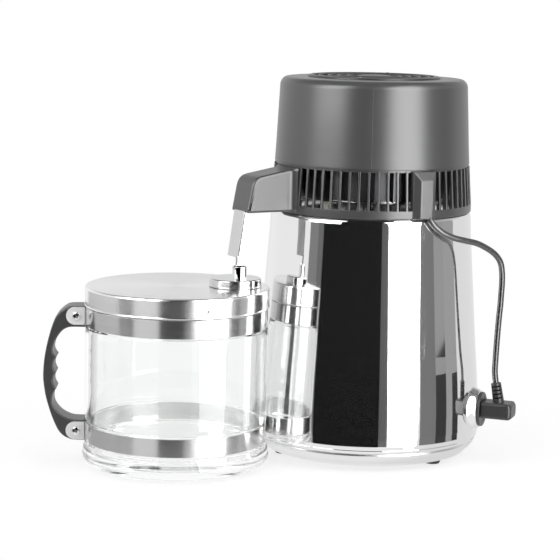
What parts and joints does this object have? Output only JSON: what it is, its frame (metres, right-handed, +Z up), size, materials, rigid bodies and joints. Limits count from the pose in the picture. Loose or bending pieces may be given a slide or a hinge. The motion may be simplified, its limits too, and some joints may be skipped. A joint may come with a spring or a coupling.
{
  "type": "countertop water distiller",
  "caption": "Steel boiler with a lift-off fan-cooled condenser head, a spout arm, a plugged fan lead, and a glass jug with a steel lid and a filter cap under the spout.",
  "frame": {"origin": "on the table, at the centre of the boiler's round footprint", "axes": "+Z up; the spout arm points along -X to the jug; the fan lead is on the -Y side and the mains inlet on the +Y side"},
  "size_m": [0.4129, 0.2343, 0.36],
  "materials": {
    "brushed_steel": "satin stainless steel with fine brush lines",
    "bright_steel": "smooth bright stainless steel",
    "chrome": "polished",
    "aluminium": "bare",
    "brass": "bare",
    "black_plastic": "moulded, fine satin grain",
    "dark_plastic": "moulded, satin",
    "red_plastic": "gloss",
    "moulded_block": "moulded, heat resistant",
    "silicone": "translucent grey silicone",
    "rubber": "black rubber",
    "cord": "flexible sheath",
    "jug_glass": "clear glass",
    "filter_cloth": "non-woven pouch"
  },
  "bodies": {
    "boiler": {"outer_shell": "bright_steel", "boiling_chamber": "bright_steel", "chamber_floor": "bright_steel", "heater_plate": "aluminium", "heating_element": "bright_steel", "thermostats": "brass", "terminal_block": "moulded_block", "base_pan": "bright_steel", "base_studs": "bright_steel", "rubber_feet": "rubber", "foot_screws": "bright_steel", "fan_boss": "bright_steel", "fan_socket": "black_plastic", "socket_pins": "brass", "mains_boss": "bright_steel", "mains_inlet": "black_plastic", "mains_pins": "brass", "reset_bezel": "black_plastic"},
    "button": {"reset_button": "red_plastic"},
    "head": {"vent_ring": "dark_plastic", "dome_cover": "dark_plastic", "top_grille": "black_plastic", "grille_screws": "bright_steel", "head_plate": "bright_steel", "head_spigot": "bright_steel", "head_seal": "silicone", "condenser_coil": "bright_steel", "coil_posts": "moulded_block", "condenser_fins": "aluminium", "fan_motor": "black_plastic", "motor_bracket": "bright_steel", "spout_arm": "dark_plastic", "drip_spout": "bright_steel", "spout_tongue": "bright_steel", "cable_box": "dark_plastic", "lead_gland": "black_plastic", "lead_upper": "cord"},
    "fan": {"fan_shaft": "bright_steel", "fan_rotor": "black_plastic"},
    "plug": {"lead_lower": "cord", "lead_relief": "black_plastic", "lead_plug": "black_plastic", "plug_contacts": "brass"},
    "jug": {"jug_glass": "jug_glass", "jug_foot": "jug_glass", "upper_band": "brushed_steel", "lower_band": "brushed_steel", "jug_handle": "black_plastic", "handle_tabs": "brushed_steel", "handle_bolts": "bright_steel"},
    "lid": {"jug_lid": "brushed_steel", "lid_rim": "brushed_steel", "lid_seal": "silicone", "filter_basket": "black_plastic", "basket_floor": "black_plastic", "charcoal_pod": "filter_cloth"},
    "cap": {"filter_cap": "bright_steel", "filter_knob": "chrome"}
  },
  "joints": [
    {"name": "head_lift", "type": "slide", "parent": "boiler", "child": "head", "axis": [0, 0, 1], "range_m": [0, 0.03]},
    {"name": "fan_spin", "type": "hinge", "parent": "head", "child": "fan", "pos_m": [0, 0, 0.342], "axis": [0, 0, 1], "continuous": true},
    {"name": "jug_slide", "type": "slide", "parent": "boiler", "child": "jug", "axis": [-1, 0, 0], "range_m": [0, 0.15]},
    {"name": "lid_lift", "type": "slide", "parent": "jug", "child": "lid", "axis": [0, 0, 1], "range_m": [0, 0.004]},
    {"name": "cap_lift", "type": "slide", "parent": "lid", "child": "cap", "axis": [0, 0, 1], "range_m": [0, 0.003]},
    {"name": "button_press", "type": "slide", "parent": "boiler", "child": "button", "axis": [0.4695, -0.8829, 0], "range_m": [0, 0.002], "stiffness_N_per_m": 400, "springref_m": -0.001},
    {"name": "plug_pull", "type": "slide", "parent": "boiler", "child": "plug", "axis": [0.6428, -0.766, 0], "range_m": [0, 0.016]}
  ]
}
